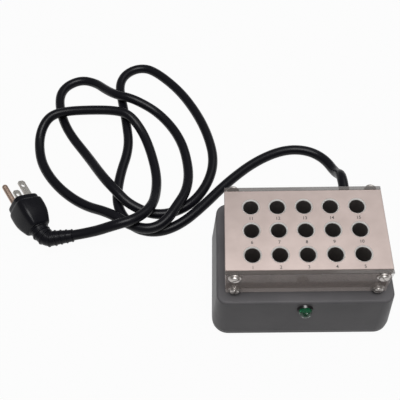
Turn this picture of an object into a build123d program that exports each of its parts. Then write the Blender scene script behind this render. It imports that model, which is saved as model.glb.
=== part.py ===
from build123d import *
import math
import os

os.makedirs("parts", exist_ok=True)

# Dry bath incubator for fifteen small tubes. Millimetres, +Z up, front towards -Y.
# The origin is on the standing surface, under the middle of the object without its cord.

# Wells
well_pitch = 19.05
well_columns = 5
well_rows = 3
well_bore = 11.1
well_depth = 38.0
well_chamfer = 0.9
drill_point = 1.5

# Heating block: a flange that stands on the base, and a neck that hangs into it
block_end_margin = 19.05
block_front_margin = 11.9
block_back_margin = 13.7
block_rise = 29.5
block_edge = 0.4
neck_wall = 1.9
neck_floor = 12.0

# Clear guards on the block's front and back faces
guard_thickness = 3.0
guard_edge = 0.3
guard_screw_inset_x = 6.6
guard_screw_inset_z = 4.8

# Cast housing
ledge_front = 8.3
ledge_back = 4.4
ledge_side = 6.35
housing_height = 43.0
draft_angle = 6.0
wall = 3.2
top_wall = 4.5
corner_radius = 8.0
edge_radius = 1.8
neck_gap = 1.5
boss_radius = 5.0
boss_hole_depth = 14.0

# Bottom cover and feet
cover_height = 7.0
cover_sheet = 1.6
foot_reach = 3.0
foot_radius = 7.5
foot_web = 0.9
seal_thickness = 1.0

# Screws: thread diameter, head diameter and head height
screw_size = 4.0
screw_head = 7.0
screw_head_height = 1.8
foot_screw_head_height = 1.6
slot_width = 1.0
slot_depth = 1.0
washer_size = 9.0
washer_thickness = 0.8
screw_clearance = 0.1
guard_screw_bite = 9.0
block_screw_bite = 9.0
block_screw_y = 12.0
bush_flange = 9.5
bush_thickness = 2.0
bush_sleeve = 6.4

# Heater, thermostat and cut-out
heater_size = 6.35
heater_length = 76.0
heater_seal_length = 5.0
heater_fit = 0.1
thermostat_x = -20.0
thermostat_width = 26.0
thermostat_length = 20.0
thermostat_height = 13.0
ear_width = 10.0
ear_reach = 8.0
ear_thickness = 2.0
small_screw = 3.0
small_head = 5.6
small_head_height = 1.8
small_screw_bite = 5.0
stem_size = 6.0
stem_drop = 7.0
stem_depth = 12.0
stem_bushing = 4.0
stem_play = 0.05
stem_hole = 8.0
stem_recess = 0.6
cutout_x = 22.0
cutout_size = 4.0
cutout_length = 12.0
clip_sheet = 0.8
clip_width = 6.0

# Terminal block on the bottom cover
terminal_x = 12.0
terminal_y = -8.0
terminal_pitch = 12.0
terminal_ways = 3
terminal_depth = 16.0
terminal_height = 12.0
terminal_wall = 3.0

# Pilot lamp on the front
lamp_drop = 9.2
bezel_size = 11.8
bezel_height = 1.8
jewel_size = 9.8
jewel_rise = 5.0
jewel_sides = 12
barrel_size = 8.0
barrel_bore = 6.6
barrel_length = 11.0
lamp_nut_width = 9.6
lamp_nut_thickness = 3.0

# Cord, its strain relief and its plug
cord_size = 8.8
cord_exit_x = 44.0
cord_exit_z = 20.0
relief_hole = 12.6
relief_flange = 17.0
relief_flange_thickness = 2.5
relief_length = 22.0
relief_lead_out = 20.0
relief_end_size = 10.8
relief_inside = 6.0
relief_ribs = 5
relief_groove = 1.3
plug_bend_radius = 18.0
plug_heading = 124.0
plug_pitch = 7.5
plug_roll = -55.0
plug_width = 27.0
plug_depth = 24.0
plug_rear_width = 19.0
plug_rear_depth = 17.5
plug_length = 30.0
plug_nose = 5.0
plug_nose_width = 22.0
plug_nose_depth = 22.5
plug_edge = 5.0
blade_gap = 12.7
blade_width = 6.35
blade_thickness = 1.5
blade_length = 17.0
blade_hole = 3.4
blade_sink = 3.0
pin_size = 4.75
pin_offset = 11.9
pin_length = 20.0

# The cord's route on the standing surface, as points of its centre line
floor = cord_size / 2
over = 14.2
cord_route = [
    (42, 99, 9), (34, 119, floor), (18, 129, floor), (-4, 129, floor), (-30, 116, floor),
    (-55, 94, floor), (-76, 70, floor), (-95, 52, floor), (-115, 44, floor), (-136, 49, floor),
    (-152, 70, floor), (-152, 101, floor), (-145, 134, floor), (-150, 163, floor), (-156, 189, floor),
    (-161, 211, floor), (-156, 226, floor), (-143, 234, floor), (-128, 231, floor), (-102, 205, floor),
    (-84, 176, floor), (-72, 147, floor), (-66, 117, floor), (-73, 90, floor), (-89, 69, floor),
    (-115, 60, floor), (-139, 68, 11), (-152, 81, 15.2), (-164, 95, over), (-183, 125, floor),
    (-203, 151, floor), (-214, 174, floor), (-219, 197, floor), (-214, 211, floor), (-200, 219, floor),
    (-185, 215, floor), (-172, 201, 9), (-160, 190, over), (-143, 185, over), (-118, 174, floor),
    (-97, 143, floor), (-89, 109, floor), (-90, 83, 10), (-98, 64, 15.2), (-107, 49, over),
    (-120, 42, over), (-136, 46, over), (-155, 59, over), (-181, 72, floor), (-205, 90, floor),
    (-223, 114, floor), (-230, 137, floor), (-229, 154, 9), (-221, 166, over), (-206, 171, over),
    (-182, 172, over), (-160, 171, over), (-146, 166, over), (-134, 152, 6.4), (-125, 130, floor),
    (-118, 103, floor), (-117, 81, 9), (-119, 61, 19), (-130, 47, 24), (-147, 41, 25), (-170, 39, 15),
    (-196, 36, 13.5),
]

# Places worked out from the sizes above
block_width = (well_columns - 1) * well_pitch + 2 * block_end_margin
block_depth = (well_rows - 1) * well_pitch + block_front_margin + block_back_margin
base_width = block_width + 2 * ledge_side
base_depth = block_depth + 2 * guard_thickness + ledge_front + ledge_back
draft_slope = math.tan(math.radians(draft_angle))
base_draft = housing_height * draft_slope
lamp_reach = bezel_height + jewel_rise
base_y = (lamp_reach + lamp_drop * draft_slope - base_draft) / 2
base_front = base_y - base_depth / 2
base_back = base_y + base_depth / 2
housing_z = foot_reach + cover_height
base_top = housing_z + housing_height
block_z = base_top + seal_thickness
block_top = block_z + block_rise
block_front = base_front + ledge_front + guard_thickness
block_back = block_front + block_depth
block_y = (block_front + block_back) / 2
grid_y = block_front + block_front_margin + (well_rows - 1) * well_pitch / 2
neck_width = (well_columns - 1) * well_pitch + well_bore + 2 * neck_wall
neck_depth = (well_rows - 1) * well_pitch + well_bore + 2 * neck_wall
neck_z = block_top - well_depth - neck_floor
heater_z = neck_z + neck_floor / 2
opening_width = neck_width + 2 * neck_gap
opening_depth = neck_depth + 2 * neck_gap
seat_x = (opening_width + block_width) / 4
boss_x = base_width / 2 - wall - boss_radius + 0.8
boss_y = base_depth / 2 - wall - boss_radius + 0.8
cover_top = foot_reach + cover_sheet
inner_top = base_top - top_wall
lamp_z = base_top - lamp_drop
stem_z = neck_z - stem_drop
stem_seat_y = grid_y + thermostat_length / 2 + stem_bushing
cutout_z = neck_z - cutout_size / 2 - 0.1
clip_screw_x = cutout_x + cutout_size / 2 + small_head
guard_screw_x = block_width / 2 - guard_screw_inset_x
guard_screw_levels = (block_top - guard_screw_inset_z, block_z + guard_screw_inset_z)
boss_places = [(sx * boss_x, base_y + sy * boss_y) for sx in (-1, 1) for sy in (-1, 1)]
block_screw_places = [(sx * seat_x, grid_y + sy * block_screw_y) for sx in (-1, 1) for sy in (-1, 1)]
small_slot = slot_width * small_screw / screw_size


def wall_y(z, side):
    """Outer face of the drafted front (-1) or back (+1) wall at height z."""
    return base_y + side * (base_depth / 2 + (base_top - z) * draft_slope)


def wall_plane(x, z, side):
    """Plane on a drafted wall, its normal pointing outwards."""
    normal = (0, side * math.cos(math.radians(draft_angle)), math.sin(math.radians(draft_angle)))
    return Plane(origin=(x, wall_y(z, side), z), x_dir=(-side, 0, 0), z_dir=normal)


def rod(plane, start, end, size, end_size=None):
    """Round rod or cone along a plane's normal, between two distances from it."""
    r1 = size / 2
    r2 = r1 if end_size is None else end_size / 2
    profile = Polyline((0, start), (r1, start), (r2, end), (0, end), close=True)
    return plane * revolve(make_face(Plane.XZ * profile), Axis.Z)


def block_box(x, y, z, low_z):
    """Box by its size in X and Y and its height, standing at low_z over the origin."""
    return Pos(0, 0, low_z + z / 2) * Box(x, y, z)


def slotted_screw(plane, head, head_height, size, length, slot, depth):
    """Pan head screw: the head stands out of the plane and the shank runs into it."""
    crown = rod(plane, 0, head_height, head)
    crown = fillet(crown.edges().filter_by(GeomType.CIRCLE).sort_by(Axis(plane.origin, plane.z_dir))[-1], head_height * 0.55)
    shank = rod(plane, -length, 0, size)
    cut = plane * Pos(0, 0, head_height) * Box(head * 1.2, slot, 2 * depth)
    return crown + shank - cut


def save(name, shape):
    shape.label = name
    export_step(shape, "parts/" + name + ".step")


# Housing: a drafted casting, open below, with corner bosses and the block's seat
def make_housing():
    def shell(inset, height, low_z):
        plan = RectangleRounded(
            base_width + 2 * (base_draft - inset),
            base_depth + 2 * (base_draft - inset),
            corner_radius + base_draft - inset,
        )
        return Pos(0, base_y, low_z) * extrude(plan, height, taper=draft_angle)

    body = shell(0, housing_height, housing_z)
    body = fillet(body.faces().sort_by(Axis.Z)[-1].edges(), edge_radius)
    body -= shell(wall, housing_height - top_wall, housing_z)
    for x, y in boss_places:
        body += Pos(x, y, cover_top) * Cylinder(
            boss_radius, inner_top - cover_top, align=(Align.CENTER, Align.CENTER, Align.MIN)
        )
        body -= Pos(x, y, cover_top) * Cylinder(
            (screw_size + screw_clearance) / 2, boss_hole_depth, align=(Align.CENTER, Align.CENTER, Align.MIN)
        )
    opening = Pos(0, grid_y, 0) * block_box(opening_width, opening_depth, top_wall * 3, inner_top - top_wall)
    body -= fillet(opening.edges().filter_by(Axis.Z), 4.0)
    for x, y in block_screw_places:
        body -= Pos(x, y, inner_top) * Cylinder((bush_sleeve + screw_clearance) / 2, top_wall * 3)
    body -= rod(wall_plane(0, lamp_z, -1), -wall * 2, wall, barrel_size + 0.2)
    body -= rod(wall_plane(cord_exit_x, cord_exit_z, 1), -wall * 2, wall, relief_hole)
    body -= Pos(thermostat_x, base_back, stem_z) * Rot(90, 0, 0) * Cylinder(stem_hole / 2, wall * 4)
    return body


# Bottom cover: a pressed pan flush with the housing's lower edge
def make_cover():
    width = base_width + 2 * base_draft
    depth = base_depth + 2 * base_draft
    radius = corner_radius + base_draft
    plan = RectangleRounded(width, depth, radius)
    pan = Pos(0, base_y, foot_reach) * extrude(plan, cover_height)
    pan = fillet(pan.faces().sort_by(Axis.Z)[0].edges(), edge_radius)
    inner = RectangleRounded(width - 2 * cover_sheet, depth - 2 * cover_sheet, radius - cover_sheet)
    pan -= Pos(0, base_y, cover_top) * extrude(inner, cover_height)
    for x, y in boss_places:
        pan -= Pos(x, y, foot_reach) * Cylinder((screw_size + screw_clearance) / 2, 6 * cover_sheet)
    for x in terminal_screw_places():
        pan -= Pos(x, terminal_y, foot_reach) * Cylinder((small_screw + screw_clearance) / 2, 6 * cover_sheet)
    return pan


# Feet with the cover screws sunk in them
def make_foot(x, y):
    foot = Plane(origin=(x, y, 0)) * revolve(make_face(Plane.XZ * Polyline(
        (0, 0), (foot_radius - 0.9, 0), (foot_radius, foot_reach), (0, foot_reach), close=True)), Axis.Z)
    foot -= Pos(x, y, 0) * Cylinder((screw_size + screw_clearance) / 2, 4 * foot_reach)
    foot -= Pos(x, y, 0) * Cylinder((screw_head + 1) / 2, 2 * (foot_reach - foot_web))
    return foot


def make_cover_screw(x, y):
    under_head = Plane(origin=(x, y, foot_reach - foot_web), x_dir=(1, 0, 0), z_dir=(0, 0, -1))
    length = foot_web + cover_sheet + boss_hole_depth - 2
    return slotted_screw(under_head, screw_head, foot_screw_head_height, screw_size, length, slot_width, 0.7)


# Heating block with its chamfered wells
def make_block():
    body = Pos(0, block_y, 0) * block_box(block_width, block_depth, block_rise, block_z)
    body = chamfer(body.edges(), block_edge)
    neck = Pos(0, grid_y, 0) * block_box(neck_width, neck_depth, block_z - neck_z + 1, neck_z)
    body += fillet(neck.edges().filter_by(Axis.Z), 3.0)
    well = make_face(Plane.XZ * Polyline(
        (0, -well_depth - drill_point), (well_bore / 2, -well_depth), (well_bore / 2, -well_chamfer),
        (well_bore / 2 + well_chamfer, 0), (0, 0), close=True))
    well = revolve(well, Axis.Z)
    cuts = []
    for column in range(well_columns):
        for row in range(well_rows):
            x = (column - (well_columns - 1) / 2) * well_pitch
            y = grid_y + (row - (well_rows - 1) / 2) * well_pitch
            cuts.append(Pos(x, y, block_top) * well)
    for x, y in block_screw_places:
        cuts.append(Pos(x, y, block_z) * Cylinder((screw_size + screw_clearance) / 2, 2 * (block_screw_bite + 2)))
    for side in (-1, 1):
        for plane in guard_screw_planes(side, 0):
            cuts.append(rod(plane, -guard_screw_bite - 1, 1, screw_size + screw_clearance))
    for plane in heater_planes():
        cuts.append(rod(plane, -heater_length - 1, 1, heater_size + heater_fit))
    for x in ear_screw_places() + [clip_screw_x]:
        cuts.append(Pos(x, grid_y, neck_z) * Cylinder((small_screw + screw_clearance) / 2, 2 * small_screw_bite))
    return body - cuts


# Seal between the block's flange and the housing
def make_seal():
    seal = Pos(0, block_y, 0) * block_box(block_width, block_depth, seal_thickness, base_top)
    hole = Pos(0, grid_y, 0) * block_box(opening_width, opening_depth, 4 * seal_thickness, base_top - seal_thickness)
    seal -= fillet(hole.edges().filter_by(Axis.Z), 4.0)
    for x, y in block_screw_places:
        seal -= Pos(x, y, base_top) * Cylinder((bush_sleeve + screw_clearance) / 2, 4 * seal_thickness)
    return seal


# Insulating bushes and screws that pull the block down from inside
def make_bush(x, y):
    plane = Plane(origin=(x, y, inner_top), x_dir=(1, 0, 0), z_dir=(0, 0, -1))
    bush = rod(plane, 0, bush_thickness, bush_flange) + rod(plane, -top_wall - seal_thickness, 0, bush_sleeve)
    return bush - rod(plane, -20, 20, screw_size + screw_clearance)


def make_block_screw(x, y):
    plane = Plane(origin=(x, y, inner_top - bush_thickness), x_dir=(1, 0, 0), z_dir=(0, 0, -1))
    length = bush_thickness + top_wall + seal_thickness + block_screw_bite
    return slotted_screw(plane, screw_head, screw_head_height, screw_size, length, slot_width, slot_depth)


# Clear guards with a screw and washer at each corner
def guard_screw_planes(side, standoff):
    face = block_front if side < 0 else block_back
    return [
        Plane(origin=(sx * guard_screw_x, face + side * standoff, z), x_dir=(-side, 0, 0), z_dir=(0, side, 0))
        for sx in (-1, 1) for z in guard_screw_levels
    ]


def make_guard(side):
    face = block_front if side < 0 else block_back
    low = base_top + seal_thickness / 2
    guard = Pos(0, face + side * guard_thickness / 2, 0) * block_box(
        block_width, guard_thickness, block_top - low, low)
    guard = chamfer(guard.edges(), guard_edge)
    for plane in guard_screw_planes(side, 0):
        guard -= rod(plane, -1, guard_thickness + 1, screw_size + 0.4)
    return guard


def make_guard_washers(side):
    washers = []
    for plane in guard_screw_planes(side, guard_thickness):
        washers.append(rod(plane, 0, washer_thickness, washer_size) - rod(plane, -1, 2, screw_size + 0.4))
    return Compound(washers)


def make_guard_screws(side):
    length = washer_thickness + guard_thickness + guard_screw_bite
    screws = []
    for plane in guard_screw_planes(side, guard_thickness + washer_thickness):
        turned = plane * Rot(0, 0, 35 + 40 * len(screws))
        screws.append(slotted_screw(Plane(turned), screw_head, screw_head_height, screw_size, length,
                                    slot_width, slot_depth))
    return Compound(screws)


# Heater cartridges in the neck, between the rows of wells
def heater_planes():
    return [
        Plane(origin=(neck_width / 2, grid_y + side * well_pitch / 2, heater_z), x_dir=(0, 1, 0), z_dir=(1, 0, 0))
        for side in (-1, 1)
    ]


def make_heater(plane):
    sealed_end = rod(plane, 1, 1 + heater_seal_length, heater_size, heater_size * 0.7)
    return rod(plane, -heater_length, 1, heater_size) + sealed_end


# Thermostat under the neck, with an adjusting stem that faces the rear wall
def ear_screw_places():
    reach = (thermostat_width + ear_reach) / 2
    return [thermostat_x - reach, thermostat_x + reach]


def make_thermostat():
    body = Pos(thermostat_x, grid_y, 0) * block_box(
        thermostat_width, thermostat_length, thermostat_height, neck_z - thermostat_height)
    body = chamfer(body.edges().filter_by(Axis.Z), 2.0)
    body += Pos(thermostat_x, grid_y, 0) * block_box(
        thermostat_width + 2 * ear_reach, ear_width, ear_thickness, neck_z - ear_thickness)
    for x in ear_screw_places():
        body -= Pos(x, grid_y, neck_z) * Cylinder((small_screw + screw_clearance) / 2, 6 * ear_thickness)
    rear = Plane(origin=(thermostat_x, stem_seat_y, stem_z), x_dir=(-1, 0, 0), z_dir=(0, 1, 0))
    body += rod(rear, -stem_bushing - 1, 0, stem_size + 4)
    return body - rod(rear, -stem_depth, 2, stem_size + 2 * stem_play)


def make_ear_screws():
    screws = []
    for x in ear_screw_places():
        plane = Plane(origin=(x, grid_y, neck_z - ear_thickness), x_dir=(1, 0, 0), z_dir=(0, 0, -1))
        screws.append(slotted_screw(plane, small_head, small_head_height, small_screw,
                                    ear_thickness + small_screw_bite - 1, small_slot, 0.8))
    return Compound(screws)


def make_stem():
    start = stem_seat_y - stem_depth
    length = wall_y(stem_z, 1) - stem_recess - start
    plane = Plane(origin=(thermostat_x, start, stem_z), x_dir=(-1, 0, 0), z_dir=(0, 1, 0))
    stem = rod(plane, 0.1, length, stem_size)
    stem = chamfer(stem.edges().filter_by(GeomType.CIRCLE).sort_by(Axis.Y)[-1], 0.4)
    return stem - plane * Pos(0, 0, length) * Box(stem_size * 1.2, slot_width, 3.0)


# Thermal cut-out under the neck, held by a clip and one screw
def make_cutout():
    plane = Plane(origin=(cutout_x, grid_y, cutout_z), x_dir=(1, 0, 0), z_dir=(0, 1, 0))
    half = cutout_length / 2
    return rod(plane, -half, half, cutout_size) + rod(plane, -half - 5, half + 5, 0.8)


def make_cutout_clip():
    plane = Plane(origin=(cutout_x, grid_y, cutout_z), x_dir=(1, 0, 0), z_dir=(0, 1, 0))
    inner = cutout_size + 0.2
    clip = rod(plane, -clip_width / 2, clip_width / 2, inner + 2 * clip_sheet)
    clip -= Pos(cutout_x, grid_y, 0) * block_box(20, 20, 20, neck_z)
    tab = clip_screw_x + small_head / 2 - cutout_x
    clip += Pos(cutout_x + tab / 2, grid_y, 0) * block_box(tab, clip_width, clip_sheet, neck_z - clip_sheet)
    clip -= rod(plane, -clip_width, clip_width, inner)
    clip -= Pos(cutout_x, grid_y, 0) * block_box(inner, 20, cutout_size / 2 + 0.1, cutout_z)
    return clip - Pos(clip_screw_x, grid_y, neck_z) * Cylinder((small_screw + screw_clearance) / 2, 10)


def make_clip_screw():
    plane = Plane(origin=(clip_screw_x, grid_y, neck_z - clip_sheet), x_dir=(1, 0, 0), z_dir=(0, 0, -1))
    return slotted_screw(plane, small_head, small_head_height, small_screw,
                         clip_sheet + small_screw_bite - 1, small_slot, 0.8)


# Terminal block with its screws
def terminal_screw_places():
    reach = terminal_ways * terminal_pitch / 2 + terminal_wall
    return [terminal_x - reach, terminal_x + reach]


def make_terminal_block():
    width = terminal_ways * terminal_pitch + 4 * terminal_wall
    base = Pos(terminal_x, terminal_y, 0) * block_box(width, terminal_depth, 3.0, cover_top)
    for way in range(terminal_ways):
        x = terminal_x + (way - (terminal_ways - 1) / 2) * terminal_pitch
        tower = Pos(x, terminal_y, 0) * block_box(
            terminal_pitch - 1.2, terminal_depth, terminal_height, cover_top)
        base += tower
        for side in (-1, 1):
            top = cover_top + terminal_height
            base -= Pos(x, terminal_y + side * terminal_depth / 4, top) * Cylinder(2.6, 8)
    for x in terminal_screw_places():
        base -= Pos(x, terminal_y, cover_top) * Cylinder((small_screw + screw_clearance) / 2, 20)
    return base


def make_terminal_screws():
    screws = []
    for way in range(terminal_ways):
        x = terminal_x + (way - (terminal_ways - 1) / 2) * terminal_pitch
        for side in (-1, 1):
            top = Plane(origin=(x, terminal_y + side * terminal_depth / 4, cover_top + terminal_height - 3))
            screws.append(slotted_screw(top, 4.6, 1.6, 2.4, 0.9, small_slot, 0.7))
    return Compound(screws)


def make_terminal_mounts():
    screws = []
    for x in terminal_screw_places():
        plane = Plane(origin=(x, terminal_y, cover_top + 3.0))
        screws.append(slotted_screw(plane, small_head, small_head_height, small_screw,
                                    3.0 + cover_sheet, small_slot, 0.8))
    return Compound(screws)


# Pilot lamp: bezel with a threaded barrel, faceted jewel, nut and neon bulb
def make_bezel():
    plane = wall_plane(0, lamp_z, -1)
    ring = rod(plane, 0, bezel_height, bezel_size, bezel_size - 1.0)
    barrel = rod(plane, -barrel_length, 0, barrel_size)
    seat = rod(plane, bezel_height - 0.9, bezel_height + 1, jewel_size + 0.1)
    return ring + barrel - seat - rod(plane, -barrel_length - 1, bezel_height, barrel_bore)


def make_jewel():
    plane = wall_plane(0, lamp_z, -1)
    low = bezel_height - 0.9
    radius = jewel_size / 2
    rings = [(low, 1.0, 0), (bezel_height + 1.2, 0.97, 0), (bezel_height + 3.6, 0.72, 0.5),
             (bezel_height + jewel_rise, 0.30, 0)]
    solid = None
    for (z1, s1, t1), (z2, s2, t2) in zip(rings, rings[1:]):
        step = 360 / jewel_sides
        first = Pos(0, 0, z1) * Rot(0, 0, t1 * step) * RegularPolygon(radius * s1, jewel_sides)
        second = Pos(0, 0, z2) * Rot(0, 0, t2 * step) * RegularPolygon(radius * s2, jewel_sides)
        layer = loft([first, second], ruled=True)
        solid = layer if solid is None else solid + layer
    return plane * solid


def make_lamp_nut():
    plane = wall_plane(0, lamp_z, -1)
    back = -wall - 0.1
    nut = Pos(0, 0, back - lamp_nut_thickness) * extrude(
        RegularPolygon(lamp_nut_width / 2, 6, major_radius=False), lamp_nut_thickness)
    return plane * nut - rod(plane, -20, 2, barrel_size + 0.05)


def make_bulb():
    plane = wall_plane(0, lamp_z, -1)
    bulb = rod(plane, -barrel_length + 1, -3, barrel_bore - 1.0)
    bulb = fillet(bulb.edges().filter_by(GeomType.CIRCLE).sort_by(Axis.Y)[0], 2.2)
    return bulb + rod(plane, -barrel_length - 3, -barrel_length + 1, barrel_bore - 0.05)


# Strain relief at the rear wall
def make_relief():
    plane = wall_plane(cord_exit_x, cord_exit_z, 1)
    relief = rod(plane, 0, relief_flange_thickness, relief_flange, relief_flange - 1.5)
    relief += rod(plane, relief_flange_thickness, relief_length, relief_flange - 3.5, relief_end_size)
    relief += rod(plane, -relief_inside, 0, relief_hole - 0.1)
    pitch = (relief_length - relief_flange_thickness - 3) / relief_ribs
    for rib in range(relief_ribs):
        place = relief_flange_thickness + 1.5 + (rib + 0.25) * pitch
        size = cord_size + 1.2
        relief -= rod(plane, place, place + relief_groove, 40) - rod(plane, place - 1, place + 3, size)
    return relief


# Cord from the strain relief to the plug
def cord_path():
    exit_plane = wall_plane(cord_exit_x, cord_exit_z, 1)
    start = exit_plane.origin + exit_plane.z_dir * relief_length
    points = [start, start + exit_plane.z_dir * relief_lead_out] + [Vector(*p) for p in cord_route]
    radii = []
    for before, here, after in zip(points, points[1:], points[2:]):
        first = here - before
        second = after - here
        half_turn = math.radians(first.get_angle(second)) / 2
        radii.append(0.45 * min(first.length, second.length) / math.tan(half_turn))
    print("cord radii:", [round(r) for r in radii])
    return FilletPolyline(*points, radius=radii)


def make_cord():
    path = cord_path()
    section = Plane(origin=path @ 0, z_dir=path % 0) * Circle(cord_size / 2)
    tube = sweep(section, path=path)
    print("cord length:", round(path.length, 1), "volume ratio:",
          round(tube.volume / (path.length * math.pi * cord_size ** 2 / 4), 4))
    return tube


# Plug: the cord bends into a ribbed relief, then the moulded body and its three contacts
def plug_layout():
    """Bend centre, directions and turn of the relief, and the plane of the body's rear face."""
    end = Vector(*cord_route[-1])
    incoming = (end - Vector(*cord_route[-2])).normalized()
    heading = math.radians(plug_heading)
    pitch = math.radians(plug_pitch)
    axis = Vector(math.cos(heading) * math.cos(pitch), math.sin(heading) * math.cos(pitch), math.sin(pitch))
    normal = incoming.cross(axis).normalized()
    inward = normal.cross(incoming)
    turn = math.radians(incoming.get_angle(axis))
    centre = end + inward * plug_bend_radius
    rear = centre - inward * (plug_bend_radius * math.cos(turn)) + incoming * (plug_bend_radius * math.sin(turn))
    level = axis.cross(Vector(0, 0, 1)).normalized()
    across = level.rotate(Axis((0, 0, 0), axis), plug_roll)
    bend = Plane(origin=centre, x_dir=-inward, z_dir=normal)
    return bend, math.degrees(turn), Plane(origin=rear, x_dir=across, z_dir=axis)


def make_plug_body():
    plane = plug_layout()[-1]
    rear = RectangleRounded(plug_rear_width, plug_rear_depth, plug_edge)
    middle = Pos(0, 0, plug_length * 0.28) * RectangleRounded(plug_width - 2.6, plug_depth - 2.2, plug_edge)
    shoulder = Pos(0, 0, plug_length * 0.5) * RectangleRounded(plug_width, plug_depth, plug_edge)
    front = Pos(0, 0, plug_length - plug_nose) * RectangleRounded(plug_width, plug_depth, plug_edge)
    nose = Pos(0, 0, plug_length - plug_nose) * RectangleRounded(plug_nose_width, plug_nose_depth, plug_edge)
    body = loft([rear, middle], ruled=True) + loft([middle, shoulder], ruled=True)
    body = body + loft([shoulder, front], ruled=True) + extrude(nose, plug_nose)
    body = plane * body
    body -= blade_solids(0.05)
    return body - pin_solid(0.05)


def blade_solids(play):
    plane = plug_layout()[-1]
    blades = []
    for side in (-1, 1):
        length = blade_length + blade_sink
        blade = Pos(side * blade_gap / 2, pin_offset / 3, plug_length - blade_sink + length / 2) * Box(
            blade_thickness + 2 * play, blade_width + 2 * play, length)
        if play == 0:
            ends = blade.edges().filter_by(Axis.X).sort_by(Axis.Z)[-2:]
            blade = chamfer(ends, 1.4)
            hole = Pos(side * blade_gap / 2, pin_offset / 3, plug_length + blade_length * 0.7) * Rot(0, 90, 0)
            blade -= hole * Cylinder(blade_hole / 2, 4 * blade_thickness)
        blades.append(plane * blade)
    return blades


def pin_solid(play):
    plane = plug_layout()[-1]
    y = pin_offset / 3 - pin_offset
    pin = Pos(0, y, plug_length - blade_sink) * Cylinder(
        pin_size / 2 + play, pin_length + blade_sink, align=(Align.CENTER, Align.CENTER, Align.MIN))
    if play == 0:
        tip = pin.edges().filter_by(GeomType.CIRCLE).sort_by(Axis.Z)[-1]
        pin = fillet(tip, pin_size / 2 - 0.15)
    return plane * pin


def make_plug_relief():
    bend, turn, rear = plug_layout()
    core_size = cord_size + 1.6
    start = Plane(origin=(plug_bend_radius, 0, 0), x_dir=(1, 0, 0), z_dir=(0, 1, 0))
    relief = sweep(start * Circle(core_size / 2), path=CenterArc((0, 0, 0), plug_bend_radius, 0, turn))
    for rib in range(relief_ribs):
        share = (rib + 0.5) / relief_ribs
        ring = Cylinder(core_size / 2 + 1.2 + 1.6 * share, 2.0)
        relief += Rot(0, 0, turn * (0.12 + 0.88 * share)) * Pos(plug_bend_radius, 0, 0) * Rot(90, 0, 0) * ring
    return bend * relief - rear * Pos(0, 0, 25) * Box(60, 60, 50)


print("block top", block_top, "grid y", round(grid_y, 2), "base y", round(base_y, 2), "neck z", neck_z)
save("housing", make_housing())
save("bottom_cover", make_cover())
save("rubber_feet", Compound([make_foot(x, y) for x, y in boss_places]))
save("cover_screws", Compound([make_cover_screw(x, y) for x, y in boss_places]))
save("well_block", make_block())
save("block_seal", make_seal())
save("insulating_bushes", Compound([make_bush(x, y) for x, y in block_screw_places]))
save("block_screws", Compound([make_block_screw(x, y) for x, y in block_screw_places]))
for name, side in (("front", -1), ("rear", 1)):
    save(name + "_guard", make_guard(side))
    save(name + "_guard_washers", make_guard_washers(side))
    save(name + "_guard_screws", make_guard_screws(side))
save("heater_cartridges", Compound([make_heater(plane) for plane in heater_planes()]))
save("thermostat", make_thermostat())
save("thermostat_screws", make_ear_screws())
save("adjusting_stem", make_stem())
save("thermal_cutout", make_cutout())
save("cutout_clip", make_cutout_clip())
save("clip_screw", make_clip_screw())
save("terminal_block", make_terminal_block())
save("terminal_screws", make_terminal_screws())
save("terminal_mount_screws", make_terminal_mounts())
save("lamp_bezel", make_bezel())
save("lamp_jewel", make_jewel())
save("lamp_nut", make_lamp_nut())
save("lamp_bulb", make_bulb())
save("strain_relief", make_relief())
save("power_cord", make_cord())
plug_body = make_plug_body()
plug_relief = make_plug_relief()
plug_low = plug_body.bounding_box().min.Z
print("plug lowest", round(plug_low, 2), "its relief", round(plug_relief.bounding_box().min.Z, 2))
print("stem end", round(make_stem().bounding_box().max.Y, 2), "foot", round(base_y + boss_y + 5.4, 2), boss_x)
save("plug_relief", plug_relief)
save("plug_body", plug_body)
save("plug_blades", Compound(blade_solids(0)))
save("plug_earth_pin", pin_solid(0))
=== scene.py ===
import bpy
import bmesh
import math
from mathutils import Euler, Matrix, Vector


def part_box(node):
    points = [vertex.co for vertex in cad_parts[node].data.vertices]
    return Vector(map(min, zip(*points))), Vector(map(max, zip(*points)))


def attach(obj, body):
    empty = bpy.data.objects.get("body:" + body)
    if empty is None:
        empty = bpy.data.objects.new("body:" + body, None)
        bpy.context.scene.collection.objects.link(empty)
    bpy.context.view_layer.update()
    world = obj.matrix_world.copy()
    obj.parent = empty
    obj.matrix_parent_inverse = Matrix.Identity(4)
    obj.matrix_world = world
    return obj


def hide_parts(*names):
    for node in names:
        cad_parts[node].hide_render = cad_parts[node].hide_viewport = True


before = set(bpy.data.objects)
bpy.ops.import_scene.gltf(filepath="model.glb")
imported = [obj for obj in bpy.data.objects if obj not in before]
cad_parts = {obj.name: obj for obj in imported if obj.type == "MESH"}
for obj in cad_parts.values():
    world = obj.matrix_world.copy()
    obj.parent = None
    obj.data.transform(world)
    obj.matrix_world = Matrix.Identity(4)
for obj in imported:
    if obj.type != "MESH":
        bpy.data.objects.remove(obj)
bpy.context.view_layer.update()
scene = bpy.context.scene


# Camera: it looks down on the instrument from the front, a little from the left. Its lens
# and place were fitted to the grid of wells and to the edges of the block and the base.
IMAGE_SIZE = 400
FOCAL_PIXELS = 615.9
CAMERA_PLACE = (-0.0551, -0.2042, 0.4655)
CAMERA_TURN = (32.45, 1.16, -0.15)


def add(name, data):
    """Puts a new object into the scene, at the origin and unturned."""
    made = bpy.data.objects.new(name, data)
    scene.collection.objects.link(made)
    return made


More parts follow.
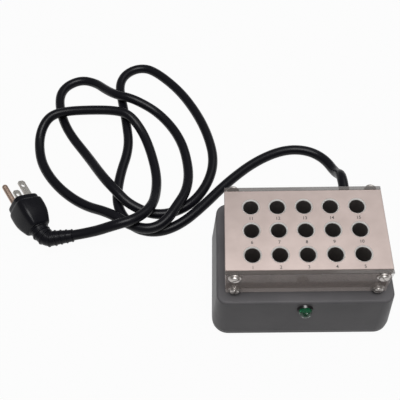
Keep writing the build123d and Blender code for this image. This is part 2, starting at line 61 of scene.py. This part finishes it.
camera = add("camera", bpy.data.cameras.new("camera"))
camera.data.sensor_width = 36.0
camera.data.lens = FOCAL_PIXELS * camera.data.sensor_width / IMAGE_SIZE
camera.data.clip_start = 0.01
camera.data.clip_end = 20.0
camera.data.shift_x = -0.043
camera.data.shift_y = -0.0312
camera.location = CAMERA_PLACE
camera.rotation_euler = Euler([math.radians(angle) for angle in CAMERA_TURN])
scene.camera = camera


# Housing and bottom cover: an aluminium casting and a pressed steel pan, both in grey
# enamel. The enamel has a fine orange peel over soft waves left by the casting, and a
# thin dark line shows where the pan closes the casting.
SEAM_Z = 0.010
SEAM_HALF = 0.00035
SEAM_COLOUR = (0.03, 0.03, 0.033)
ENAMEL_DARK = (0.084, 0.081, 0.085)
ENAMEL_LIGHT = (0.102, 0.098, 0.102)


class Val:
    """One socket of a finish. Arithmetic on it adds the Math nodes that work it out."""

    def __init__(self, finish, socket):
        self.finish = finish
        self.socket = socket

    def math(self, operation, *inputs):
        return self.finish.node("ShaderNodeMath", {"operation": operation}, dict(enumerate(inputs)))

    def __add__(self, other):
        return self.math("ADD", self, other)

    def __sub__(self, other):
        return self.math("SUBTRACT", self, other)

    def __rsub__(self, other):
        return self.math("SUBTRACT", other, self)

    def __mul__(self, other):
        return self.math("MULTIPLY", self, other)

    def __lt__(self, other):
        return self.math("LESS_THAN", self, other)

    def __gt__(self, other):
        return self.math("GREATER_THAN", self, other)

    def __abs__(self):
        return self.math("ABSOLUTE", self)

    __radd__ = __add__
    __rmul__ = __mul__


class Finish:
    """A material on one Principled shader, whose patterns are written as expressions."""

    def __init__(self, name, **sockets):
        self.material = bpy.data.materials.new(name)
        self.material.use_nodes = True
        self.tree = self.material.node_tree
        self.shader = self.tree.nodes["Principled BSDF"]
        for socket, value in sockets.items():
            self.set(socket.replace("_", " ").title(), value)

    def node(self, kind, settings=None, inputs=None, output=0):
        made = self.tree.nodes.new(kind)
        for key, value in (settings or {}).items():
            setattr(made, key, value)
        for key, value in (inputs or {}).items():
            self.plug(made.inputs[key], value)
        return Val(self, made.outputs[output])

    def plug(self, socket, value):
        """Links a Val to the socket, or sets its number or colour."""
        if isinstance(value, Val):
            self.tree.links.new(value.socket, socket)
        elif isinstance(value, tuple) and len(value) == 3 and len(socket.default_value) == 4:
            socket.default_value = (*value, 1.0)
        else:
            socket.default_value = value

    def set(self, socket, value):
        names = {"Ior": "IOR", "Specular Ior Level": "Specular IOR Level"}
        self.plug(self.shader.inputs[names.get(socket, socket)], value)

    def point(self):
        """Object coordinates in metres, which stay with the piece."""
        return self.node("ShaderNodeTexCoord", output="Object")

    def axis(self, name):
        return self.node("ShaderNodeSeparateXYZ", None, {0: self.point()}, output=name)

    def noise(self, size, detail=2.0):
        """Noise from 0 to 1 whose grains are about size metres wide."""
        return self.node("ShaderNodeTexNoise", None, {
            "Vector": self.point(), "Scale": 1 / size, "Detail": detail})

    def mix(self, share, first, second):
        return self.node("ShaderNodeMix", {"data_type": "RGBA"},
                         {0: share, 6: first, 7: second}, output=2)

    def spread(self, value, low, high):
        """0 at low and 1 at high, straight between them."""
        return self.node("ShaderNodeMapRange", None, {0: value, 1: low, 2: high})

    def mottle(self, size, first, second):
        """Lets the colour wander between two, in patches about size metres wide."""
        self.set("Base Color", self.mix(self.noise(size), first, second))

    def wear(self, size, low, more, detail=2.0):
        """Roughness from low up to low + more, in patches about size metres wide."""
        self.set("Roughness", low + more * self.noise(size, detail))

    def bump(self, height, depth, strength=1.0):
        """Raises the surface by depth metres where height is 1."""
        self.set("Normal", self.node("ShaderNodeBump", None, {
            "Strength": strength, "Distance": depth, "Height": height}))

    def ray(self, kind):
        """1 for rays of the kind, such as Camera, and 0 for all others."""
        return self.node("ShaderNodeLightPath", output=f"Is {kind} Ray")

    def show(self, share, other):
        """Shows another shader in place of the Principled one, by the share."""
        own = Val(self, self.shader.outputs[0])
        both = self.node("ShaderNodeMixShader", None, {0: share, 1: own, 2: other})
        self.tree.links.new(both.socket, self.tree.nodes["Material Output"].inputs[0])


def dress(finish, *nodes):
    """Gives CAD nodes a finish."""
    for name in nodes:
        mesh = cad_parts[name].data
        mesh.materials.clear()
        mesh.materials.append(finish.material)


enamel = Finish("grey_enamel", specular_ior_level=0.12)
waves = enamel.noise(0.028)
peel = enamel.noise(0.0011)
ripple = enamel.noise(0.012, detail=1.0)
seam = abs(enamel.axis("Z") - SEAM_Z) < SEAM_HALF
coat = enamel.mix(enamel.spread(waves, 0.3, 0.7), ENAMEL_DARK, ENAMEL_LIGHT)
enamel.set("Base Color", enamel.mix(seam, coat, SEAM_COLOUR))
enamel.wear(0.006, low=0.36, more=0.10, detail=3.0)
enamel.bump(peel + 4.0 * ripple, depth=0.00003, strength=0.6)
dress(enamel, "housing", "bottom_cover")


# Feet: four moulded rings of black rubber, screwed under the bottom cover.
# Their fine mould texture is matt.
foot_rubber = Finish("foot_rubber", base_color=(0.02, 0.02, 0.02), roughness=0.75)
foot_rubber.bump(foot_rubber.noise(0.0006), depth=0.00004)
dress(foot_rubber, "rubber_feet")


# Well block: a milled block of aluminium, faintly warm, with fifteen drilled wells.
# Its faces have a fine directionless grain. The bores are painted dark grey as painted shade,
# and the chamfer at the mouth of each is painted near white as a painted highlight.
FACE_MARGIN = 0.0005
TOP_MARGIN = 0.00002
BORE_DEPTH = 0.0008
MOUTH_DEPTH = 0.00088
# Colour of the painted highlight on the chamfer at each well's mouth.
MOUTH_HIGHLIGHT_COLOUR = (0.80, 0.78, 0.75)
metal = Finish("milled_aluminium")
grain = metal.noise(0.0004, detail=3.0)
cloud = metal.noise(0.014, detail=3.0)
block_low, block_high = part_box("well_block")
middle_y = (block_low.y + block_high.y) / 2
half_y = (block_high.y - block_low.y) / 2
inside = abs(metal.axis("X")) < block_high.x - FACE_MARGIN
inside = inside * (abs(metal.axis("Y") - middle_y) < half_y - FACE_MARGIN)
height = metal.axis("Z")
bore = inside * (height < block_high.z - BORE_DEPTH)
# Painted highlight: a thin band at the mouth of each well is coloured near white for the glint on its
# chamfer.
mouth_highlight = inside * (height < block_high.z - TOP_MARGIN) * (height > block_high.z - MOUTH_DEPTH)
plain = metal.mix(metal.spread(cloud, 0.3, 0.7), (0.335, 0.276, 0.256), (0.385, 0.318, 0.296))
# Painted shade: the bores below the chamfer are coloured dark grey for the shade inside the wells.
painted_bore_shade = metal.mix(metal.noise(0.002), (0.08, 0.070, 0.066), (0.14, 0.125, 0.118))
metal.set("Base Color", metal.mix(mouth_highlight, metal.mix(bore, plain, painted_bore_shade), MOUTH_HIGHLIGHT_COLOUR))
metal.set("Roughness", 0.36 + 0.14 * grain + 0.15 * bore)
metal.set("Metallic", 0.7 - 0.55 * bore)
metal.bump(grain, depth=0.00001, strength=0.5)
dress(metal, "well_block")


# Seal: a dark gasket between the block's flange and the housing.
# It is cut from heat-resistant sheet with a fibrous edge.
gasket = Finish("gasket_sheet", base_color=(0.03, 0.028, 0.026), roughness=0.85)
gasket.bump(gasket.noise(0.0005), depth=0.00005)
dress(gasket, "block_seal")


# Clear guards: flat acrylic panels, one screwed to each long face of the block.
# The block shows through their faces, and the polished top edge of each is painted dark as painted
# shade.
TOP_EDGE = 0.0004
FACE_ALPHA = 0.26
EDGE_ALPHA = 0.81
acrylic = Finish("clear_acrylic", ior=1.49)
# Painted shade: a band along the top edge is coloured near black and made more opaque, for the dark
# look of the polished edge.
painted_dark_edge = acrylic.axis("Z") > block_high.z - TOP_EDGE
acrylic.set("Base Color", acrylic.mix(painted_dark_edge, (0.80, 0.70, 0.66), (0.09, 0.08, 0.075)))
acrylic.set("Alpha", FACE_ALPHA + (EDGE_ALPHA - FACE_ALPHA) * painted_dark_edge)
acrylic.wear(0.004, low=0.05, more=0.05, detail=3.0)
dress(acrylic, "front_guard", "rear_guard")


# Screws and washers: those of the guards are nickel-plated steel, with faint turning
# marks. The screws and small steel parts inside the housing are zinc-plated.
plate = Finish("nickel_plate", base_color=(0.50, 0.47, 0.45), metallic=1.0)
plate.wear(0.001, low=0.28, more=0.2)
dress(plate, "front_guard_screws", "rear_guard_screws",
      "front_guard_washers", "rear_guard_washers")
zinc = Finish("zinc_plate", metallic=1.0, roughness=0.35)
zinc.mottle(0.002, (0.50, 0.51, 0.53), (0.62, 0.60, 0.55))
dress(zinc, "cover_screws", "block_screws", "thermostat_screws", "cutout_clip", "clip_screw",
      "terminal_mount_screws", "lamp_nut")


# Parts inside the housing: heaters and cut-out in steel sheaths, phenolic mouldings, and
# a stem and wire screws of turned brass. The housing, the cover and the block hide them.
sheath = Finish("steel_sheath", metallic=1.0)
sheath.mottle(0.004, (0.42, 0.40, 0.38), (0.55, 0.54, 0.52))
sheath.wear(0.001, low=0.3, more=0.2)
dress(sheath, "heater_cartridges", "thermal_cutout")
phenolic = Finish("phenolic_moulding", base_color=(0.03, 0.022, 0.018), roughness=0.4)
phenolic.bump(phenolic.noise(0.0008), depth=0.00002)
dress(phenolic, "thermostat", "terminal_block", "insulating_bushes")
brass = Finish("turned_brass", metallic=1.0)
brass.mottle(0.003, (0.55, 0.40, 0.16), (0.66, 0.50, 0.24))
brass.wear(0.0006, low=0.25, more=0.15)
dress(brass, "adjusting_stem", "terminal_screws")


# Pilot lamp: a faceted green lens in a black-chromed bezel.
# A small glass bulb sits in the bezel's barrel behind the lens.
bezel = Finish("black_chrome", base_color=(0.05, 0.05, 0.05), metallic=1.0)
bezel.wear(0.001, low=0.22, more=0.15)
dress(bezel, "lamp_bezel")
lens = Finish("green_lens", roughness=0.08, ior=1.5, transmission_weight=0.75)
lens.mottle(0.004, (0.003, 0.055, 0.022), (0.008, 0.12, 0.05))
lens.show(lens.ray("Shadow"), lens.node("ShaderNodeBsdfTransparent"))
dress(lens, "lamp_jewel")
glass = Finish("bulb_glass", base_color=(0.9, 0.85, 0.75), transmission_weight=0.9)
glass.wear(0.002, low=0.03, more=0.05)
dress(glass, "lamp_bulb")


# Power cord: a three-core cord in a black vinyl jacket, 8.8 mm thick.
# It leaves the rear wall, lies in two loose loops on the bench and ends in the plug.
BODY = "instrument"
CORD_SIZE = 0.0088
FLOOR = CORD_SIZE / 2
OVER = 0.0142
WALL_DRAFT = math.radians(6.0)
WALL_POINT = Vector((0.044, 0.0463, 0.020))
RELIEF_LENGTH = 0.022
LEAD_OUT = 0.020
ROUTE = [
    (0.042, 0.099, 0.0090), (0.034, 0.119, FLOOR), (0.018, 0.129, FLOOR), (-0.004, 0.129, FLOOR),
    (-0.030, 0.116, FLOOR), (-0.055, 0.094, FLOOR), (-0.076, 0.070, FLOOR), (-0.095, 0.052, FLOOR),
    (-0.115, 0.044, FLOOR), (-0.136, 0.049, FLOOR), (-0.152, 0.070, FLOOR), (-0.152, 0.101, FLOOR),
    (-0.145, 0.134, FLOOR), (-0.150, 0.163, FLOOR), (-0.156, 0.189, FLOOR), (-0.161, 0.211, FLOOR),
    (-0.156, 0.226, FLOOR), (-0.143, 0.234, FLOOR), (-0.128, 0.231, FLOOR), (-0.102, 0.205, FLOOR),
    (-0.084, 0.176, FLOOR), (-0.072, 0.147, FLOOR), (-0.066, 0.117, FLOOR), (-0.073, 0.090, FLOOR),
    (-0.089, 0.069, FLOOR), (-0.115, 0.060, FLOOR), (-0.139, 0.068, 0.0110), (-0.152, 0.081, 0.0152),
    (-0.164, 0.095, OVER), (-0.183, 0.125, FLOOR), (-0.203, 0.151, FLOOR), (-0.214, 0.174, FLOOR),
    (-0.219, 0.197, FLOOR), (-0.214, 0.211, FLOOR), (-0.200, 0.219, FLOOR), (-0.185, 0.215, FLOOR),
    (-0.172, 0.201, 0.0090), (-0.160, 0.190, OVER), (-0.143, 0.185, OVER), (-0.118, 0.174, FLOOR),
    (-0.097, 0.143, FLOOR), (-0.089, 0.109, FLOOR), (-0.090, 0.083, 0.0100), (-0.098, 0.064, 0.0152),
    (-0.107, 0.049, OVER), (-0.120, 0.042, OVER), (-0.136, 0.046, OVER), (-0.155, 0.059, OVER),
    (-0.181, 0.072, FLOOR), (-0.205, 0.090, FLOOR), (-0.223, 0.114, FLOOR), (-0.230, 0.137, FLOOR),
    (-0.229, 0.154, 0.0090), (-0.221, 0.166, OVER), (-0.206, 0.171, OVER), (-0.182, 0.172, OVER),
    (-0.160, 0.171, OVER), (-0.146, 0.166, OVER), (-0.134, 0.152, 0.0064), (-0.125, 0.130, FLOOR),
    (-0.118, 0.103, FLOOR), (-0.117, 0.081, 0.0090), (-0.119, 0.061, 0.0190), (-0.130, 0.047, 0.0240),
    (-0.147, 0.041, 0.0250), (-0.170, 0.039, 0.0150), (-0.196, 0.036, 0.0135),
]


def smooth_path(name, points, steps):
    """A smooth open curve near the points, with no thickness yet."""
    data = bpy.data.curves.new(name, "CURVE")
    data.dimensions = "3D"
    run = data.splines.new("NURBS")
    run.points.add(len(points) - 1)
    for knot, place in zip(run.points, points):
        knot.co = (*place, 1.0)
    run.order_u = 3
    run.use_endpoint_u = True
    run.resolution_u = steps
    return add(name, data)


def settle(piece, node):
    """Puts a vinyl piece in the place of its CAD node, on the instrument."""
    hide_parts(node)
    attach(piece, BODY)


vinyl = Finish("black_vinyl", base_color=(0.004, 0.004, 0.006), specular_ior_level=0.16)
vinyl.wear(0.004, low=0.24, more=0.12, detail=3.0)
vinyl.bump(vinyl.noise(0.0007) + vinyl.noise(0.006), depth=0.00002, strength=0.6)
exit_way = Vector((0, math.cos(WALL_DRAFT), math.sin(WALL_DRAFT)))
cord_start = WALL_POINT + exit_way * RELIEF_LENGTH
route = [cord_start, cord_start + exit_way * LEAD_OUT] + [Vector(place) for place in ROUTE]
cord = smooth_path("power_cord_jacket", route, steps=8)
cord.data.bevel_depth = CORD_SIZE / 2
cord.data.bevel_resolution = 6
cord.data.use_fill_caps = True
cord.data.materials.append(vinyl.material)
settle(cord, "power_cord")


# Strain reliefs: tapered sleeves of the same vinyl, moulded on with ribs round them.
# The instrument's is straight and sits in the rear wall. The plug's runs in a bend.
RELIEF_INSIDE = 0.005
CORD_INSIDE = 0.012
BEND_RADIUS = 0.018
PLUG_HEADING = math.radians(124)
PLUG_PITCH = math.radians(7.5)


class Tree:
    """A Geometry Nodes tree with named sizes, whose result becomes a plain mesh."""

    def __init__(self, name, **sizes):
        self.tree = bpy.data.node_groups.new(name, "GeometryNodeTree")
        self.sizes = sizes
        face = self.tree.interface
        face.new_socket("Geometry", in_out="OUTPUT", socket_type="NodeSocketGeometry")
        kinds = {int: "NodeSocketInt", float: "NodeSocketFloat"}
        for size, value in sizes.items():
            kind = kinds.get(type(value), "NodeSocketObject")
            face.new_socket(size, in_out="INPUT", socket_type=kind)
        self.start = self.tree.nodes.new("NodeGroupInput")
        self.end = self.tree.nodes.new("NodeGroupOutput")

    def node(self, kind, settings=None, inputs=None, output=0):
        made = self.tree.nodes.new(kind)
        for key, value in (settings or {}).items():
            setattr(made, key, value)
        for key, value in (inputs or {}).items():
            if isinstance(value, bpy.types.NodeSocket):
                self.tree.links.new(value, made.inputs[key])
            else:
                made.inputs[key].default_value = value
        return made.outputs[output]

    def size(self, name):
        return self.start.outputs[name]

    def divide(self, first, second):
        return self.node("ShaderNodeMath", {"operation": "DIVIDE"}, {0: first, 1: second})

    def mesh(self, name, geometry, finish):
        """Ends the tree, runs it with its sizes and returns the finished object."""
        real = self.node("GeometryNodeRealizeInstances", None, {0: geometry})
        coated = self.node("GeometryNodeSetMaterial", None, {
            "Geometry": real, "Material": finish.material})
        self.tree.links.new(coated, self.end.inputs[0])
        piece = add(name, bpy.data.meshes.new(name))
        modifier = piece.modifiers.new("make", "NODES")
        modifier.node_group = self.tree
        for item in self.tree.interface.items_tree:
            if item.in_out == "INPUT":
                modifier[item.identifier] = self.sizes[item.name]
        made = evaluated_mesh(piece)
        piece.modifiers.clear()
        piece.data = made
        made.name = name
        return piece


def evaluated_mesh(piece):
    """The piece's shape with its modifiers or its letters worked out."""
    bpy.context.view_layer.update()
    ready = piece.evaluated_get(bpy.context.evaluated_depsgraph_get())
    return bpy.data.meshes.new_from_object(ready)


def ribbed_sleeve(name, points, ribs, start_radius, end_radius, rib):
    """A sleeve along the points that tapers between two radii, with ribs of radius rib."""
    path = smooth_path(name + "_path", points, steps=12)
    tree = Tree(name, path=path, ribs=ribs, start_radius=start_radius,
                end_radius=end_radius, rib=rib)
    line = tree.node("GeometryNodeObjectInfo", None, {0: tree.size("path")}, output="Geometry")
    share = tree.node("GeometryNodeSplineParameter", output="Factor")
    taper = tree.node("ShaderNodeMapRange", None, {
        0: share, 3: tree.size("start_radius"), 4: tree.size("end_radius")})
    circle = tree.node("GeometryNodeCurvePrimitiveCircle", None, {"Resolution": 28, "Radius": 1.0})
    steps = tree.node("GeometryNodeResampleCurve", None, {"Curve": line, "Count": 40})
    sleeve = tree.node("GeometryNodeCurveToMesh", None, {
        "Curve": steps, "Profile Curve": circle, "Scale": taper, "Fill Caps": True})
    places = tree.node("GeometryNodeCurveToPoints", None, {"Curve": line, "Count": tree.size("ribs")})
    section = tree.node("GeometryNodeCurvePrimitiveCircle", None, {
        "Resolution": 10, "Radius": tree.size("rib")})
    hoop = tree.node("GeometryNodeCurvePrimitiveCircle", None, {
        "Resolution": 36, "Radius": tree.size("end_radius")})
    ring = tree.node("GeometryNodeCurveToMesh", None, {"Curve": hoop, "Profile Curve": section})
    last = tree.node("ShaderNodeMath", {"operation": "SUBTRACT"}, {0: tree.size("ribs"), 1: 1.0})
    far = tree.divide(tree.node("GeometryNodeInputIndex"), last)
    start_scale = tree.divide(tree.size("start_radius"), tree.size("end_radius"))
    reach = tree.node("ShaderNodeMapRange", None, {0: far, 3: start_scale, 4: 1.0})
    beads = tree.node("GeometryNodeInstanceOnPoints", None, {
        "Points": places, "Instance": ring,
        "Rotation": places.node.outputs["Rotation"], "Scale": reach})
    both = tree.node("GeometryNodeJoinGeometry")
    tree.tree.links.new(sleeve, both.node.inputs[0])
    tree.tree.links.new(beads, both.node.inputs[0])
    smooth = tree.node("GeometryNodeSetShadeSmooth", None, {"Geometry": both})
    piece = tree.mesh(name, smooth, vinyl)
    bpy.data.objects.remove(path)
    return piece


inner_end = WALL_POINT - exit_way * RELIEF_INSIDE
relief = ribbed_sleeve("strain_relief_sleeve", [inner_end, WALL_POINT, cord_start],
                       ribs=9, start_radius=0.0068, end_radius=0.0052, rib=0.0008)
settle(relief, "strain_relief")

cord_end = Vector(route[-1])
incoming = (cord_end - Vector(route[-2])).normalized()
plug_axis = Vector((math.cos(PLUG_HEADING) * math.cos(PLUG_PITCH),
                    math.sin(PLUG_HEADING) * math.cos(PLUG_PITCH), math.sin(PLUG_PITCH)))
bend_normal = incoming.cross(plug_axis).normalized()
inward = bend_normal.cross(incoming)
turn = incoming.angle(plug_axis)
plug_rear = cord_end + inward * BEND_RADIUS * (1 - math.cos(turn))
plug_rear += incoming * BEND_RADIUS * math.sin(turn)
corner = cord_end + incoming * BEND_RADIUS * math.tan(turn / 2)
before_end = cord_end - incoming * CORD_INSIDE
sleeve = ribbed_sleeve("plug_relief_sleeve", [before_end, cord_end, corner, plug_rear],
                       ribs=8, start_radius=0.0050, end_radius=0.0076, rib=0.0009)
settle(sleeve, "plug_relief")


# Plug: one moulding of the same vinyl, lofted through rounded sections along its axis.
# It tapers to the relief at the rear, and the smaller nose in front carries the contacts.
PLUG_ROLL = math.radians(-55)
SECTION_POINTS = 32
SQUARENESS = 0.45
PLUG_SECTIONS = [  # distance along the axis, half width and half depth
    (0.0000, 0.0076, 0.0070), (0.0004, 0.0092, 0.0085), (0.0020, 0.0098, 0.0091),
    (0.0060, 0.0114, 0.0102), (0.0100, 0.0127, 0.0113), (0.0145, 0.0134, 0.0119),
    (0.0200, 0.0135, 0.0120), (0.0238, 0.0134, 0.0119), (0.0248, 0.0127, 0.0117),
    (0.0251, 0.0112, 0.0114), (0.0262, 0.0110, 0.0112), (0.0290, 0.0110, 0.0112),
    (0.0299, 0.0107, 0.0109), (0.0300, 0.0096, 0.0098),
]
level = plug_axis.cross(Vector((0, 0, 1))).normalized()
across = Matrix.Rotation(PLUG_ROLL, 3, plug_axis) @ level
upward = plug_axis.cross(across)
shape = bmesh.new()
loops = []
for along, half_width, half_depth in PLUG_SECTIONS:
    loop = []
    for step in range(SECTION_POINTS):
        angle = 2 * math.pi * step / SECTION_POINTS
        c, n = math.cos(angle), math.sin(angle)
        x = half_width * math.copysign(abs(c) ** SQUARENESS, c)
        y = half_depth * math.copysign(abs(n) ** SQUARENESS, n)
        loop.append(shape.verts.new(plug_rear + plug_axis * along + across * x + upward * y))
    loops.append(loop)
for first, second in zip(loops, loops[1:]):
    for step in range(SECTION_POINTS):
        ahead = (step + 1) % SECTION_POINTS
        shape.faces.new((first[step], first[ahead], second[ahead], second[step]))
for loop in (loops[0], loops[-1]):
    middle = shape.verts.new(sum((v.co for v in loop), Vector()) / SECTION_POINTS)
    for step in range(SECTION_POINTS):
        shape.faces.new((loop[step], loop[(step + 1) % SECTION_POINTS], middle))
bmesh.ops.recalc_face_normals(shape, faces=shape.faces)
for face in shape.faces:
    face.smooth = True
plug_mesh = bpy.data.meshes.new("plug_moulding")
shape.to_mesh(plug_mesh)
shape.free()
plug_mesh.materials.append(vinyl.material)
moulding = add("plug_moulding", plug_mesh)
rounding = moulding.modifiers.new("round", "SUBSURF")
rounding.levels = 1
rounding.render_levels = 1
settle(moulding, "plug_body")


# Contacts: two nickel-plated blades and a round earth pin, held in the plug's nose.
# The pin is of plain brass and looks browner than the blades.
blade = Finish("contact_plate", metallic=1.0)
blade.mottle(0.003, (0.50, 0.48, 0.44), (0.62, 0.60, 0.57))
blade.wear(0.0008, low=0.3, more=0.2)
dress(blade, "plug_blades")
pin = Finish("pin_brass", metallic=1.0)
pin.mottle(0.003, (0.42, 0.30, 0.24), (0.55, 0.42, 0.34))
pin.wear(0.0008, low=0.25, more=0.15)
dress(pin, "plug_earth_pin")


# Well numbers: plain black figures printed on the block's top in front of each well,
# 1 to 5 in the front row, 6 to 10 in the middle and 11 to 15 at the back.
WELL_COLUMNS = 5
WELL_ROWS = 3
WELL_PITCH = 0.01905
GRID_Y = 0.002674
NUMBER_DROP = 0.0096
NUMBER_SIZE = 0.0034
INK_HALF = 0.00003
INK_SWELL = 0.00005
INK_LIFT = 0.00002
ink = Finish("black_ink", base_color=(0.015, 0.014, 0.014))
ink.wear(0.0005, low=0.5, more=0.2)
figures = bmesh.new()
for well in range(WELL_COLUMNS * WELL_ROWS):
    row, column = divmod(well, WELL_COLUMNS)
    text = bpy.data.curves.new("figure", "FONT")
    text.body = str(well + 1)
    text.size = NUMBER_SIZE
    text.align_x = "CENTER"
    text.align_y = "CENTER"
    text.extrude = INK_HALF
    text.offset = INK_SWELL
    holder = add("figure", text)
    flat = evaluated_mesh(holder)
    x = (column - WELL_COLUMNS // 2) * WELL_PITCH
    y = GRID_Y + (row - WELL_ROWS // 2) * WELL_PITCH - NUMBER_DROP
    flat.transform(Matrix.Translation((x, y, block_high.z + INK_LIFT)))
    figures.from_mesh(flat)
    bpy.data.objects.remove(holder)
number_mesh = bpy.data.meshes.new("well_numbers")
figures.to_mesh(number_mesh)
figures.free()
number_mesh.materials.append(ink.material)
numbers = add("well_numbers", number_mesh)
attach(numbers, BODY)


# Floor and light: a plain floor under a large soft lamp, a weak one at the rear right and
# a pale world. Camera and glossy rays see the floor white, camera rays see the world
# white, and the object keeps a soft shadow on the floor.
FLOOR_HALF = 3.0
FLOOR_WHITE = 0.96
WORLD_LIGHT = 0.30
floor_mesh = bpy.data.meshes.new("floor")
floor_mesh.from_pydata([(-FLOOR_HALF, -FLOOR_HALF, 0), (FLOOR_HALF, -FLOOR_HALF, 0),
                        (FLOOR_HALF, FLOOR_HALF, 0), (-FLOOR_HALF, FLOOR_HALF, 0)],
                       [], [(0, 1, 2, 3)])
floor = add("floor", floor_mesh)
paper = Finish("white_floor", base_color=(0.28, 0.28, 0.28), roughness=0.9)
paper.show(FLOOR_WHITE * (paper.ray("Camera") + paper.ray("Glossy")),
           paper.node("ShaderNodeEmission", None, {"Strength": 1.0}))
floor_mesh.materials.append(paper.material)

world = bpy.data.worlds.new("studio")
scene.world = world
world.use_nodes = True
nodes = world.node_tree.nodes
pale = nodes["Background"]
white = nodes.new("ShaderNodeBackground")
for background, strength in ((pale, WORLD_LIGHT), (white, 1.0)):
    background.inputs["Color"].default_value = (1, 1, 1, 1)
    background.inputs["Strength"].default_value = strength
rays = nodes.new("ShaderNodeLightPath")
either = nodes.new("ShaderNodeMixShader")
for start, end in ((rays.outputs["Is Camera Ray"], either.inputs[0]),
                   (pale.outputs[0], either.inputs[1]),
                   (white.outputs[0], either.inputs[2]),
                   (either.outputs[0], nodes["World Output"].inputs["Surface"])):
    world.node_tree.links.new(start, end)


def area_lamp(name, place, size, power):
    """A round soft lamp that points at the instrument."""
    data = bpy.data.lights.new(name, "AREA")
    data.shape = "DISK"
    data.size = size
    data.energy = power
    lamp = add(name, data)
    lamp.location = place
    lamp.rotation_euler = (-Vector(place)).to_track_quat("-Z", "Y").to_euler()


area_lamp("key", place=(-0.02, -0.04, 1.15), size=0.7, power=11.5)
area_lamp("fill", place=(0.5, 0.6, 0.9), size=0.8, power=2.0)
scene.view_settings.view_transform = "Standard"
